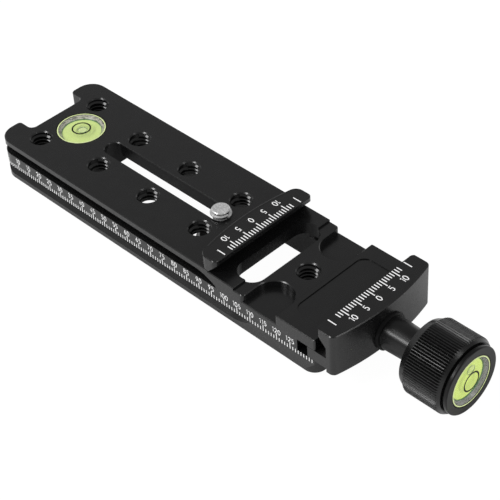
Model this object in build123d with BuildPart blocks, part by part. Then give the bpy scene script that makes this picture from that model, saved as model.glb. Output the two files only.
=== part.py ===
from build123d import *
import math
import os

# Macro focusing rail with a screw clamp at its right end, in millimetres.
# Origin: bottom face of the rail, on the axis of the clamp's central threaded hole.
# +X runs along the rail to the knob, +Y to the far side and +Z up.

# ---- rail bar
rail_width = 38.4
rail_height = 14.0
rail_left_x = -112.5
base_right_x = 20.4
left_corner_radius = 5.5
right_corner_radius = 3.8
right_upper_radius = 0.6
right_relief_z = 4.8
edge_chamfer = 0.25

# ---- dovetail sides: vertical lip, 45 degree flank, then the band that carries the scale
lip_height = 1.8
flank_depth = 2.4
band_height = 4.5
groove_cutter_radius = 14.0
upper_groove_end_x = -24.7
lower_groove_end_x = -11.6

# ---- notch between the ears of the left end
notch_half_width = 10.2
notch_depth = 5.7
notch_corner_radius = 1.8
ear_tip_radius = 1.3

# ---- channel milled in from below, and the adjustment slot in the plate above it
channel_left_x = -88.1
channel_right_x = -6.7
channel_half_width = 14.1
channel_corner_radius = 2.0
plate_thickness = 4.5
slot_left_x = -83.0
slot_right_x = -31.1
slot_width = 5.8
rim_chamfer = 0.25

# ---- threaded holes
thread_major_radius = 3.175
threaded_hole_radius = 3.2
hole_mouth_radius = 3.55
end_hole_x = -100.8
end_hole_y = 11.3
row_hole_x = (-77.7, -55.9, -34.2)
row_hole_y = 8.2

# ---- clamp: floor, jaws, window and side pockets
clamp_lip_x = -16.3
fixed_jaw_back_x = -24.9
fixed_jaw_back_radius = 76.0
fixed_jaw_corner_radius = 3.0
jaw_lip_corner_radius = 1.5
jaw_top_z = 18.6
jaw_lip_height = 1.6
clamp_floor_z = 13.5
middle_floor_z = 12.7
middle_left_x = -9.8
middle_right_x = 6.0
window_half_length = 14.6
window_width = 8.7
pocket_x = -0.3
pocket_edge_distance = 5.9
pocket_radius = 5.8
pocket_floor_z = 10.4
pocket_mouth_radius = 1.2
panel_left_x = 7.6
panel_half_width = 14.0
panel_corner_radius = 3.0
panel_depth = 0.3

# ---- movable jaw and its tongue
moving_lip_x = 20.8
moving_jaw_front_x = 29.25
moving_jaw_front_radius = 75.0
moving_jaw_corner_radius = 1.7
moving_jaw_bottom_z = 4.6
tongue_tip_x = 17.6
tongue_slot_end_x = 13.9
tongue_slot_bottom_z = 6.0
tongue_slot_height = 3.9
tongue_clearance = 0.1
stud_notch_clearance = 0.5

# ---- clamp stud, washer and the pins and springs beside it
stud_radius = 3.0
stud_z = 9.15
stud_tip_x = 8.4
stud_bore_end_x = 4.6
stud_bore_clearance = 0.05
jaw_bore_clearance = 0.3
spot_face_radius = 5.9
spot_face_depth = 0.3
washer_radius = 5.6
washer_thickness = 0.95
washer_gap = 0.05
pin_radius = 1.25
pin_edge_distance = 7.2
pin_tip_x = 0.0
pin_head_x = 27.2
pin_tip_chamfer = 0.3
pin_bore_end_x = -3.7
pin_bore_clearance = 0.05
spring_pocket_x = 9.0
spring_pocket_radius = 1.9
spring_wire_radius = 0.2
spring_radius = 1.55
spring_turns = 6
spring_end_clearance = 0.02

# ---- knob
neck_rear_radius = 5.05
neck_front_radius = 4.65
neck_length = 11.05
neck_fillet = 0.8
collar_radius = 9.88
collar_front_radius = 10.85
collar_length = 2.0
knurl_radius = 11.25
knurl_length = 10.7
knurl_edge_width = 0.2
knurl_root_depth = 0.42
knurl_groove_half_width = 0.3
knurl_ribs = 88
knob_front_radius = 10.4
front_cone_length = 1.3
cap_radius = 10.05
cap_thickness = 1.25
cap_edge_radius = 0.35
cap_groove_width = 0.5
cap_groove_radius = 9.3
cap_spigot_radius = 8.6
cap_spigot_length = 2.2
cap_clearance = 0.05
stud_grip_clearance = 0.02
stud_tip_chamfer = 0.6

# ---- screw that holds the knob on the stud
knob_web = 1.8
screw_head_radius = 2.75
screw_head_height = 2.0
screw_shank_radius = 1.5
screw_shank_length = 7.0
screw_clearance = 0.1
screw_hex_width = 2.0
screw_hex_depth = 1.2
screw_bore_spare = 0.4

# ---- round levels
vial_radius = 7.7
vial_height = 5.4
chamber_radius = 6.6
vial_dome_radius = 60.0
vial_lens_thickness = 1.2
vial_base_thickness = 0.8
vial_seat_clearance = 0.05
bubble_radius = 1.75
bubble_height = 0.7
bubble_rim_height = 0.15
rail_vial_x = -95.3
knob_bubble_offset = 3.9

# ---- camera screw, which hangs by its thread on the edges of the slot
screw_tip_z = 16.25
screw_thread_length = 2.15
screw_tip_bevel = 0.45
screw_neck_radius = 2.45
thumb_head_radius = 7.8
thumb_head_top_z = 6.15
thumb_head_height = 4.5
thumb_head_chamfer = 0.5
coin_slot_width = 1.8
coin_slot_depth = 1.5
press_pin_radius = 1.6
press_pin_length = 2.6
press_pin_spare = 0.05
camera_washer_thickness = 0.8
camera_washer_radius = 6.6
camera_washer_clearance = 0.05

# ---- sizes worked out from those above
half_width = rail_width / 2
mid_z = rail_height / 2
groove_floor_y = half_width - flank_depth
groove_cutter_y = groove_floor_y + groove_cutter_radius
channel_ceiling_z = rail_height - plate_thickness
pocket_y = half_width - pocket_edge_distance
clamp_root_x = clamp_lip_x - (jaw_top_z - jaw_lip_height - clamp_floor_z)
moving_root_x = moving_lip_x + (jaw_top_z - jaw_lip_height - clamp_floor_z)
tongue_bottom_z = tongue_slot_bottom_z + tongue_clearance
tongue_top_z = tongue_slot_bottom_z + tongue_slot_height - tongue_clearance
pin_y = half_width - pin_edge_distance
pin_z = (tongue_bottom_z + tongue_top_z) / 2
jaw_seat_x = moving_jaw_front_x - spot_face_depth
washer_rear_x = jaw_seat_x + washer_gap
neck_start_x = washer_rear_x + washer_thickness
collar_x = neck_start_x + neck_length
knurl_start_x = collar_x + collar_length
knurl_end_x = knurl_start_x + knurl_length
knob_front_x = knurl_end_x + front_cone_length
cap_rear_x = knob_front_x + cap_groove_width
cap_front_x = cap_rear_x + cap_thickness
cap_spigot_x = knob_front_x - cap_spigot_length
vial_pocket_radius = vial_radius + vial_seat_clearance
rail_vial_bottom_z = rail_height - vial_height
knob_vial_rear_x = cap_front_x - vial_height
screw_head_front_x = knob_vial_rear_x - vial_seat_clearance
screw_seat_x = screw_head_front_x - screw_head_height
stud_front_x = screw_seat_x - knob_web
camera_screw_x = slot_right_x - slot_width / 2
thread_bottom_z = screw_tip_z - screw_thread_length
over = 1.0
pieces = []

# The knob's parts are turned about its axis, from sections drawn as (x, radius).
knob_axis = Axis((0, 0, stud_z), (1, 0, 0))
knob_section = Plane((0, 0, stud_z), x_dir=(1, 0, 0), z_dir=(0, -1, 0))


# Dovetail groove profile on one side of the rail, in a plane across it.
def groove_profile(x, side, upper):
    turn = 1 if upper else -1
    lip_z = mid_z + turn * (mid_z - lip_height)
    root_z = lip_z - turn * flank_depth
    band_z = mid_z + turn * band_height / 2
    outside_y = side * (half_width + over)
    with BuildSketch(Plane.YZ.offset(x)) as profile:
        with BuildLine():
            Polyline(
                (outside_y, lip_z + turn * over),
                (side * groove_floor_y, root_z),
                (side * groove_floor_y, band_z),
                (outside_y, band_z),
                close=True,
            )
        make_face()
    return profile.sketch


# Half section of a hole along Z with a chamfered mouth at the top.
def threaded_hole_profile(x, y, bottom_z, top_z):
    mouth = hole_mouth_radius - threaded_hole_radius
    with BuildSketch(Plane((x, y, 0), x_dir=(1, 0, 0), z_dir=(0, -1, 0))) as profile:
        with BuildLine():
            Polyline(
                (0, bottom_z - over),
                (threaded_hole_radius, bottom_z - over),
                (threaded_hole_radius, top_z - mouth),
                (hole_mouth_radius + over, top_z + over),
                (0, top_z + over),
                close=True,
            )
        make_face()
    return profile.sketch


# True for the outline's points on the notch's two straight sides.
def on_notch(vertex):
    return abs(abs(vertex.Y) - notch_half_width) < 0.01


# True for the upright edges at the corners of the clamp's end.
def at_clamp_corner(edge):
    middle = edge.center()
    return abs(middle.X - base_right_x) < 0.01 and abs(abs(middle.Y) - half_width) < 0.01


# True for the upright edges where a finger pocket opens in the rail's side.
def at_pocket_mouth(edge):
    middle = edge.center()
    across = abs(abs(middle.X - pocket_x) - pocket_radius)
    return across < 0.01 and abs(abs(middle.Y) - half_width) < 0.01


# True for the edges of the clamp's floors along the rail's sides.
def on_clamp_side(edge):
    middle = edge.center()
    in_clamp = middle.X > clamp_root_x and middle.Z < rail_height
    return in_clamp and abs(abs(middle.Y) - half_width) < 0.01


# True for the top edges of the two steps down to the clamp's middle floor.
def on_floor_step(edge):
    middle = edge.center()
    at_step = min(abs(middle.X - middle_left_x), abs(middle.X - middle_right_x)) < 0.01
    return at_step and abs(middle.Z - clamp_floor_z) < 0.01


# True for the top rim of the adjustment slot.
def on_slot_rim(edge):
    middle = edge.center()
    in_slot = slot_left_x - 0.01 < middle.X < slot_right_x + 0.01 and abs(middle.Y) < slot_width
    return in_slot and abs(middle.Z - rail_height) < 0.01


# True for the upright corners of the movable jaw's lip.
def at_moving_lip(edge):
    return abs(edge.center().X - moving_lip_x) < 0.01


# True for the circle where the knob's neck meets its head.
def at_neck_corner(edge):
    return abs(edge.center().X - collar_x) < 0.01 and abs(edge.radius - neck_front_radius) < 0.01


# ======== rail body
with BuildSketch() as rail_plan:
    rail_length = base_right_x - rail_left_x
    with Locations((rail_left_x + rail_length / 2, 0)):
        Rectangle(rail_length, rail_width)
    fillet(rail_plan.vertices().group_by(Axis.X)[0], left_corner_radius)
    fillet(rail_plan.vertices().group_by(Axis.X)[-1], right_corner_radius)
    with Locations((rail_left_x, 0)):
        Rectangle(2 * notch_depth, 2 * notch_half_width, mode=Mode.SUBTRACT)
    fillet(rail_plan.vertices().filter_by(on_notch).group_by(Axis.X)[-1], notch_corner_radius)
    fillet(rail_plan.vertices().filter_by(on_notch).group_by(Axis.X)[0], ear_tip_radius)

with BuildSketch(Plane.XY.offset(rail_height)) as fixed_jaw_plan:
    jaw_depth = clamp_lip_x - fixed_jaw_back_x
    with Locations((clamp_lip_x - jaw_depth / 2, 0)):
        Rectangle(jaw_depth, rail_width)
    with Locations((fixed_jaw_back_x + fixed_jaw_back_radius, 0)):
        Circle(fixed_jaw_back_radius, mode=Mode.INTERSECT)
    fillet(fixed_jaw_plan.vertices().group_by(Axis.X)[0], fixed_jaw_corner_radius)
    fillet(fixed_jaw_plan.vertices().group_by(Axis.X)[-1], jaw_lip_corner_radius)

with BuildPart() as rail_body:
    add(rail_plan.sketch)
    extrude(amount=rail_height)
    top_edges = rail_body.faces().sort_by(Axis.Z)[-1].outer_wire().edges()
    bottom_edges = rail_body.faces().sort_by(Axis.Z)[0].outer_wire().edges()
    chamfer(top_edges + bottom_edges, edge_chamfer)

    # square corners of the clamp's end, which slope away underneath to the bar's round ones
    with BuildSketch(Plane.XZ) as end_corner:
        corner_left_x = base_right_x - right_corner_radius
        with BuildLine():
            Polyline(
                (corner_left_x, right_relief_z - right_corner_radius),
                (base_right_x, right_relief_z),
                (base_right_x, clamp_floor_z),
                (corner_left_x, clamp_floor_z),
                close=True,
            )
        make_face()
    for side in (1, -1):
        add(end_corner.sketch.moved(Location((0, side * half_width, 0))))
        extrude(amount=right_corner_radius, dir=(0, -side, 0))
    clamp_corners = rail_body.edges().filter_by(Axis.Z).filter_by(at_clamp_corner)
    fillet(clamp_corners, right_upper_radius)

    # fixed jaw, standing on the bar
    add(fixed_jaw_plan.sketch)
    extrude(amount=jaw_top_z - rail_height)
    jaw_top = rail_body.faces().sort_by(Axis.Z)[-1]
    chamfer(jaw_top.outer_wire().edges(), edge_chamfer)

    # undercut of the fixed jaw, floor strips and lower middle block
    with BuildSketch(Plane.XZ):
        with BuildLine():
            Polyline(
                (clamp_lip_x, jaw_top_z + over),
                (clamp_lip_x, jaw_top_z - jaw_lip_height),
                (clamp_root_x, clamp_floor_z),
                (middle_left_x, clamp_floor_z),
                (middle_left_x, middle_floor_z),
                (middle_right_x, middle_floor_z),
                (middle_right_x, clamp_floor_z),
                (base_right_x + over, clamp_floor_z),
                (base_right_x + over, jaw_top_z + over),
                close=True,
            )
        make_face()
    extrude(amount=half_width + over, both=True, mode=Mode.SUBTRACT)

    # finger pockets in the clamp's sides
    for side in (1, -1):
        with BuildSketch(Plane.XY.offset(pocket_floor_z)):
            with Locations((pocket_x, side * pocket_y)):
                Circle(pocket_radius)
            mouth_length = half_width + over - pocket_y
            with Locations((pocket_x, side * (pocket_y + mouth_length / 2))):
                Rectangle(2 * pocket_radius, mouth_length)
        extrude(amount=rail_height - pocket_floor_z, mode=Mode.SUBTRACT)
    fillet(rail_body.edges().filter_by(Axis.Z).filter_by(at_pocket_mouth), pocket_mouth_radius)
    floor_edges = rail_body.faces().filter_by(Axis.Z).edges()
    side_edges = floor_edges.filter_by(Axis.X).filter_by(on_clamp_side)
    step_edges = floor_edges.filter_by(Axis.Y).filter_by(on_floor_step)
    chamfer(side_edges + step_edges, rim_chamfer)

    # slot for the jaw's tongue, open at both sides and at the end
    with BuildSketch(Plane.XZ):
        slot_reach = base_right_x + over - tongue_slot_end_x
        with Locations((tongue_slot_end_x + slot_reach / 2, tongue_slot_bottom_z + tongue_slot_height / 2)):
            Rectangle(slot_reach, tongue_slot_height)
    extrude(amount=half_width + over, both=True, mode=Mode.SUBTRACT)

    # dovetail grooves: a straight run from the left end, then the cutter's round way out
    for side in (1, -1):
        for upper in (True, False):
            end_x = upper_groove_end_x if upper else lower_groove_end_x
            add(groove_profile(rail_left_x - over, side, upper))
            extrude(amount=end_x - rail_left_x + over, dir=(1, 0, 0), mode=Mode.SUBTRACT)
            add(groove_profile(end_x, side, upper))
            cutter_axis = Axis((end_x, side * groove_cutter_y, 0), (0, 0, 1))
            revolve(axis=cutter_axis, revolution_arc=360, mode=Mode.SUBTRACT)

    # channel from below
    with BuildSketch():
        channel_length = channel_right_x - channel_left_x
        with Locations((channel_left_x + channel_length / 2, 0)):
            RectangleRounded(channel_length, 2 * channel_half_width, channel_corner_radius)
    extrude(amount=channel_ceiling_z, mode=Mode.SUBTRACT)

    # adjustment slot with its edge broken at the top
    slot_length = slot_right_x - slot_left_x
    slot_centre = (slot_left_x + slot_length / 2, 0)
    with BuildSketch(Plane.XY.offset(channel_ceiling_z - over)):
        with Locations(slot_centre):
            SlotOverall(slot_length, slot_width)
    extrude(amount=plate_thickness + 2 * over, mode=Mode.SUBTRACT)
    chamfer(rail_body.edges().filter_by(on_slot_rim), rim_chamfer)

    # window beside the fixed jaw
    window_x = channel_right_x - window_width / 2
    with BuildSketch(Plane.XY.offset(channel_ceiling_z - over)):
        with Locations((window_x, 0)):
            SlotOverall(2 * window_half_length, window_width, rotation=90)
    extrude(amount=plate_thickness + over, mode=Mode.SUBTRACT)

    # shallow bare panel on the right floor strip
    with BuildSketch(Plane.XY.offset(clamp_floor_z - panel_depth)):
        panel_length = base_right_x - panel_left_x + panel_corner_radius
        with Locations((panel_left_x + panel_length / 2, 0)):
            RectangleRounded(panel_length, 2 * panel_half_width, panel_corner_radius)
    extrude(amount=panel_depth + over, mode=Mode.SUBTRACT)

    # threaded holes: one in the clamp, two in the left block, three pairs beside the slot
    holes = [(0, 0, 0, middle_floor_z)]
    for side in (1, -1):
        holes.append((end_hole_x, side * end_hole_y, 0, rail_height))
        for x in row_hole_x:
            holes.append((x, side * row_hole_y, channel_ceiling_z, rail_height))
    for x, y, bottom_z, top_z in holes:
        add(threaded_hole_profile(x, y, bottom_z, top_z))
        revolve(axis=Axis((x, y, 0), (0, 0, 1)), revolution_arc=360, mode=Mode.SUBTRACT)

    # pocket for the round level
    with BuildSketch(Plane.XY.offset(rail_vial_bottom_z)):
        with Locations((rail_vial_x, 0)):
            Circle(vial_pocket_radius)
    extrude(amount=vial_height + over, mode=Mode.SUBTRACT)

    # bore for the clamp stud, and beside it a stepped bore for each guide pin and its spring
    with BuildSketch(Plane.YZ.offset(stud_bore_end_x)):
        with Locations((0, stud_z)):
            Circle(stud_radius + stud_bore_clearance)
    extrude(amount=base_right_x + over - stud_bore_end_x, mode=Mode.SUBTRACT)
    with BuildSketch(Plane.YZ.offset(pin_bore_end_x)):
        with Locations((-pin_y, pin_z), (pin_y, pin_z)):
            Circle(pin_radius + pin_bore_clearance)
    extrude(amount=tongue_slot_end_x - pin_bore_end_x, mode=Mode.SUBTRACT)
    with BuildSketch(Plane.YZ.offset(spring_pocket_x)):
        with Locations((-pin_y, pin_z), (pin_y, pin_z)):
            Circle(spring_pocket_radius)
    extrude(amount=tongue_slot_end_x - spring_pocket_x, mode=Mode.SUBTRACT)

rail_body.part.label = "rail_body"

# ======== movable jaw
with BuildSketch(Plane.XY.offset(moving_jaw_bottom_z)) as moving_jaw_plan:
    plan_left_x = tongue_tip_x - over
    with Locations(((plan_left_x + moving_jaw_front_x) / 2, 0)):
        Rectangle(moving_jaw_front_x - plan_left_x, rail_width)
    with Locations((moving_jaw_front_x - moving_jaw_front_radius, 0)):
        Circle(moving_jaw_front_radius, mode=Mode.INTERSECT)
    fillet(moving_jaw_plan.vertices().group_by(Axis.X)[-1], moving_jaw_corner_radius)

with BuildPart() as movable_jaw:
    add(moving_jaw_plan.sketch)
    extrude(amount=jaw_top_z - moving_jaw_bottom_z)
    jaw_ends = movable_jaw.faces().filter_by(Axis.Z)
    outline_edges = jaw_ends.edges().filter_by(lambda edge: edge.center().X > moving_root_x)
    chamfer(outline_edges, edge_chamfer)

    # section across the jaw: lip, undercut flank, inner face and tongue
    with BuildSketch(Plane.XZ):
        with BuildLine():
            Polyline(
                (moving_lip_x, jaw_top_z + over),
                (moving_lip_x, jaw_top_z - jaw_lip_height),
                (moving_root_x, clamp_floor_z),
                (moving_root_x, tongue_top_z),
                (tongue_tip_x, tongue_top_z),
                (tongue_tip_x, tongue_bottom_z),
                (moving_root_x, tongue_bottom_z),
                (moving_root_x, moving_jaw_bottom_z - over),
                (moving_jaw_front_x + over, moving_jaw_bottom_z - over),
                (moving_jaw_front_x + over, jaw_top_z + over),
                close=True,
            )
        make_face()
    extrude(amount=half_width + over, both=True, mode=Mode.INTERSECT)
    fillet(movable_jaw.edges().filter_by(Axis.Z).filter_by(at_moving_lip), jaw_lip_corner_radius)

    # way for the stud: open notch in the tongue, bore and spot face in the wall
    with BuildSketch(Plane.XY.offset(tongue_bottom_z - over)):
        notch_length = moving_root_x - tongue_tip_x + over
        with Locations((moving_root_x - notch_length / 2, 0)):
            Rectangle(notch_length, 2 * (stud_radius + stud_notch_clearance))
    extrude(amount=tongue_top_z - tongue_bottom_z + 2 * over, mode=Mode.SUBTRACT)
    with BuildSketch(Plane.YZ.offset(moving_root_x - over)):
        with Locations((0, stud_z)):
            Circle(stud_radius + jaw_bore_clearance)
    extrude(amount=moving_jaw_front_x - moving_root_x + 2 * over, mode=Mode.SUBTRACT)
    with BuildSketch(Plane.YZ.offset(jaw_seat_x)):
        with Locations((0, stud_z)):
            Circle(spot_face_radius)
    extrude(amount=spot_face_depth + over, mode=Mode.SUBTRACT)

    # holes that hold the guide pins
    with BuildSketch(Plane.YZ.offset(tongue_tip_x - over)):
        with Locations((-pin_y, pin_z), (pin_y, pin_z)):
            Circle(pin_radius)
    extrude(amount=pin_head_x - tongue_tip_x + over, mode=Mode.SUBTRACT)

movable_jaw.part.label = "movable_jaw"


# ======== guide pins and the springs round them
def guide_pin(y):
    with BuildPart() as pin:
        with BuildSketch(Plane.YZ.offset(pin_tip_x)):
            with Locations((y, pin_z)):
                Circle(pin_radius)
        extrude(amount=pin_head_x - pin_tip_x)
        chamfer(pin.edges().group_by(Axis.X)[0], pin_tip_chamfer)
    return pin.part


# Length of a biarc's end arms, from its ends and its directions there.
def biarc_arm(first, last, way_in, way_out):
    span = last - first
    ways = way_in + way_out
    rest = 4 - ways.dot(ways)
    along = span.dot(ways)
    return (math.sqrt(along**2 + rest * span.dot(span)) - along) / rest


# Point and direction of a spring's wire after so many turns.
def coil_point(y, start_x, pitch, turn):
    angle = 2 * math.pi * turn
    across = spring_radius * math.cos(angle)
    up = spring_radius * math.sin(angle)
    return Vector(start_x + pitch * turn, y + across, pin_z + up)


def coil_direction(pitch, turn):
    angle = 2 * math.pi * turn
    round_length = 2 * math.pi * spring_radius
    across = -round_length * math.sin(angle)
    up = round_length * math.cos(angle)
    return Vector(pitch, across, up).normalized()


# Least gap between one turn of the wire and the next, measured on points along the coil.
def coil_gap(y, start_x, pitch):
    steps = 24
    turns = [step / steps for step in range(steps * spring_turns + 1)]
    points = [coil_point(y, start_x, pitch, turn) for turn in turns]
    gaps = []
    for index, point in enumerate(points):
        for other in points[index + steps // 2:]:
            gaps.append((other - point).length - 2 * spring_wire_radius)
    return min(gaps)


# Coil of round wire: a biarc for each quarter turn, swept as one tube.
def jaw_spring(y):
    start_x = spring_pocket_x + spring_wire_radius + spring_end_clearance
    end_x = tongue_tip_x - spring_wire_radius - spring_end_clearance
    pitch = (end_x - start_x) / spring_turns
    print(f"least gap between the spring's turns: {coil_gap(y, start_x, pitch):.2f} mm")
    with BuildPart() as spring:
        with BuildLine() as wire:
            for quarter in range(4 * spring_turns):
                turn, next_turn = quarter / 4, (quarter + 1) / 4
                first = coil_point(y, start_x, pitch, turn)
                last = coil_point(y, start_x, pitch, next_turn)
                way_in = coil_direction(pitch, turn)
                way_out = coil_direction(pitch, next_turn)
                arm = biarc_arm(first, last, way_in, way_out)
                middle = (first + way_in * arm + last - way_out * arm) / 2
                TangentArc(first, middle, tangent=way_in)
                TangentArc(middle, last, tangent=last - way_out * arm - middle)
        with BuildSketch(Plane(origin=wire.line @ 0, z_dir=wire.line % 0)):
            Circle(spring_wire_radius)
        sweep()
    return spring.part


for place, pin_side in (("near", -pin_y), ("far", pin_y)):
    pin = guide_pin(pin_side)
    pin.label = f"guide_pin_{place}"
    pieces.append(pin)
    spring = jaw_spring(pin_side)
    spring.label = f"jaw_spring_{place}"
    pieces.append(spring)

# ======== stud that draws the jaw in, and its thrust washer
with BuildPart() as clamp_stud:
    screw_bore_x = screw_seat_x - screw_shank_length - screw_bore_spare
    with BuildSketch(knob_section):
        with BuildLine():
            Polyline(
                (stud_tip_x, 0),
                (stud_tip_x, stud_radius - stud_tip_chamfer),
                (stud_tip_x + stud_tip_chamfer, stud_radius),
                (stud_front_x, stud_radius),
                (stud_front_x, screw_shank_radius),
                (screw_bore_x, screw_shank_radius),
                (screw_bore_x, 0),
                close=True,
            )
        make_face()
    revolve(axis=knob_axis)

clamp_stud.part.label = "clamp_stud"

with BuildPart() as thrust_washer:
    with BuildSketch(Plane.YZ.offset(washer_rear_x)):
        with Locations((0, stud_z)):
            Circle(washer_radius)
            Circle(stud_radius + stud_grip_clearance, mode=Mode.SUBTRACT)
    extrude(amount=washer_thickness)

thrust_washer.part.label = "thrust_washer"

# ======== knob: neck, collar and ribbed head turned in one piece, with a stepped bore
with BuildPart() as knob_grip:
    with BuildSketch(knob_section):
        with BuildLine():
            Polyline(
                (neck_start_x, neck_rear_radius),
                (collar_x, neck_front_radius),
                (collar_x, collar_radius),
                (knurl_start_x, collar_front_radius),
                (knurl_start_x + knurl_edge_width, knurl_radius),
                (knurl_end_x, knurl_radius),
                (knob_front_x, knob_front_radius),
                (knob_front_x, cap_spigot_radius + cap_clearance),
                (cap_spigot_x - cap_clearance, cap_spigot_radius + cap_clearance),
                (cap_spigot_x - cap_clearance, vial_pocket_radius),
                (screw_head_front_x, vial_pocket_radius),
                (screw_head_front_x, screw_head_radius + screw_clearance),
                (screw_seat_x, screw_head_radius + screw_clearance),
                (screw_seat_x, screw_shank_radius + screw_clearance),
                (stud_front_x, screw_shank_radius + screw_clearance),
                (stud_front_x, stud_radius + stud_grip_clearance),
                (neck_start_x, stud_radius + stud_grip_clearance),
                close=True,
            )
        make_face()
    revolve(axis=knob_axis)
    neck_corner = knob_grip.edges().filter_by(GeomType.CIRCLE).filter_by(at_neck_corner)
    fillet(neck_corner, neck_fillet)

    # straight ribs: V grooves that run out on the cones at both ends
    with BuildSketch(Plane.YZ.offset(knurl_start_x)):
        with Locations((0, stud_z)):
            with PolarLocations(knurl_radius, knurl_ribs):
                groove_side = knurl_groove_half_width * (1 + over / knurl_root_depth)
                Polygon((-knurl_root_depth, 0), (over, groove_side), (over, -groove_side), align=None)
    extrude(amount=knob_front_x - knurl_start_x, mode=Mode.SUBTRACT)

knob_grip.part.label = "knob_grip"

with BuildPart() as knob_cap:
    with BuildSketch(knob_section):
        with BuildLine():
            Polyline(
                (cap_spigot_x, vial_pocket_radius),
                (cap_spigot_x, cap_spigot_radius),
                (knob_front_x, cap_spigot_radius),
                (knob_front_x, cap_groove_radius),
                (cap_rear_x, cap_groove_radius),
                (cap_rear_x, cap_radius),
                (cap_front_x, cap_radius),
                (cap_front_x, vial_pocket_radius),
                close=True,
            )
        make_face()
    revolve(axis=knob_axis)
    rim_edges = knob_cap.edges().filter_by(GeomType.CIRCLE).group_by(SortBy.RADIUS)[-1]
    fillet(rim_edges, cap_edge_radius)

knob_cap.part.label = "knob_cap"

with BuildPart() as knob_screw:
    with BuildSketch(knob_section):
        with BuildLine():
            Polyline(
                (screw_seat_x - screw_shank_length, 0),
                (screw_seat_x - screw_shank_length, screw_shank_radius),
                (screw_seat_x, screw_shank_radius),
                (screw_seat_x, screw_head_radius),
                (screw_head_front_x, screw_head_radius),
                (screw_head_front_x, 0),
                close=True,
            )
        make_face()
    revolve(axis=knob_axis)
    with BuildSketch(Plane.YZ.offset(screw_head_front_x - screw_hex_depth)):
        with Locations((0, stud_z)):
            RegularPolygon(screw_hex_width / 2, 6, major_radius=False)
    extrude(amount=screw_hex_depth, mode=Mode.SUBTRACT)

knob_screw.part.label = "knob_screw"


# ======== round levels: clear housing, its base, the fluid and the bubble
# Half section of the chamber under the domed ceiling, drawn as (radius, height).
def chamber_profile(section, floor_height):
    ceiling_height = vial_height - vial_lens_thickness
    with BuildSketch(section) as profile:
        with BuildLine():
            Polyline(
                (0, ceiling_height),
                (0, floor_height),
                (chamber_radius, floor_height),
                (chamber_radius, ceiling_height - dome_drop(chamber_radius)),
            )
            ThreePointArc(
                (chamber_radius, ceiling_height - dome_drop(chamber_radius)),
                (chamber_radius / 2, ceiling_height - dome_drop(chamber_radius / 2)),
                (0, ceiling_height),
            )
        make_face()
    return profile.sketch


# Half section of the bubble's space, which reaches up past the ceiling.
def bubble_profile(section, offset):
    rim_height = vial_height - vial_lens_thickness - dome_drop(offset) - bubble_rim_height
    with BuildSketch(section) as profile:
        with BuildLine():
            Line((offset, rim_height - bubble_height), (offset, vial_height))
            Line((offset, vial_height), (offset + bubble_radius, vial_height))
            Line((offset + bubble_radius, vial_height), (offset + bubble_radius, rim_height))
            TangentArc(
                (offset, rim_height - bubble_height),
                (offset + bubble_radius, rim_height),
                tangent=(1, 0),
            )
        make_face()
    return profile.sketch


# How far the domed ceiling comes down at a distance from the level's axis.
def dome_drop(radius):
    return vial_dome_radius - math.sqrt(vial_dome_radius**2 - radius**2)


def level_pieces(name, section, bubble_offset):
    axis = Axis(section.origin, section.y_dir)
    bubble_axis = Axis(section.from_local_coords((bubble_offset, 0)), section.y_dir)
    with BuildPart() as housing:
        with BuildSketch(section):
            with Locations((vial_radius / 2, vial_height / 2)):
                Rectangle(vial_radius, vial_height)
        revolve(axis=axis)
        add(chamber_profile(section, -over))
        revolve(axis=axis, mode=Mode.SUBTRACT)
    with BuildPart() as base:
        with BuildSketch(section):
            with Locations((chamber_radius / 2, vial_base_thickness / 2)):
                Rectangle(chamber_radius, vial_base_thickness)
        revolve(axis=axis)
    with BuildPart() as fluid:
        add(chamber_profile(section, vial_base_thickness))
        revolve(axis=axis)
        add(bubble_profile(section, bubble_offset))
        revolve(axis=bubble_axis, mode=Mode.SUBTRACT)
    with BuildPart() as bubble:
        add(chamber_profile(section, vial_base_thickness))
        revolve(axis=axis)
        add(bubble_profile(section, bubble_offset))
        revolve(axis=bubble_axis, mode=Mode.INTERSECT)
    for part, piece in ((housing, "housing"), (base, "base"), (fluid, "fluid"), (bubble, "bubble")):
        part.part.label = f"{name}_vial_{piece}"
        pieces.append(part.part)


rail_level = Plane((rail_vial_x, 0, rail_vial_bottom_z), x_dir=(1, 0, 0), z_dir=(0, -1, 0))
knob_level = Plane((knob_vial_rear_x, 0, stud_z), x_dir=(0, 0, 1), z_dir=(0, 1, 0))
level_pieces("rail", rail_level, 0)
level_pieces("knob", knob_level, knob_bubble_offset)

# ======== camera screw with its pressed-on thumb head and washer
camera_screw_axis = Axis((camera_screw_x, 0, 0), (0, 0, 1))
camera_section = Plane((camera_screw_x, 0, 0), x_dir=(1, 0, 0), z_dir=(0, -1, 0))

with BuildPart() as camera_screw:
    with BuildSketch(camera_section):
        with BuildLine():
            Polyline(
                (0, screw_tip_z),
                (thread_major_radius - screw_tip_bevel, screw_tip_z),
                (thread_major_radius, screw_tip_z - screw_tip_bevel),
                (thread_major_radius, thread_bottom_z),
                (screw_neck_radius, thread_bottom_z),
                (screw_neck_radius, thumb_head_top_z),
                (press_pin_radius, thumb_head_top_z),
                (press_pin_radius, thumb_head_top_z - press_pin_length),
                (0, thumb_head_top_z - press_pin_length),
                close=True,
            )
        make_face()
    revolve(axis=camera_screw_axis)

camera_screw.part.label = "camera_screw"

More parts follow.
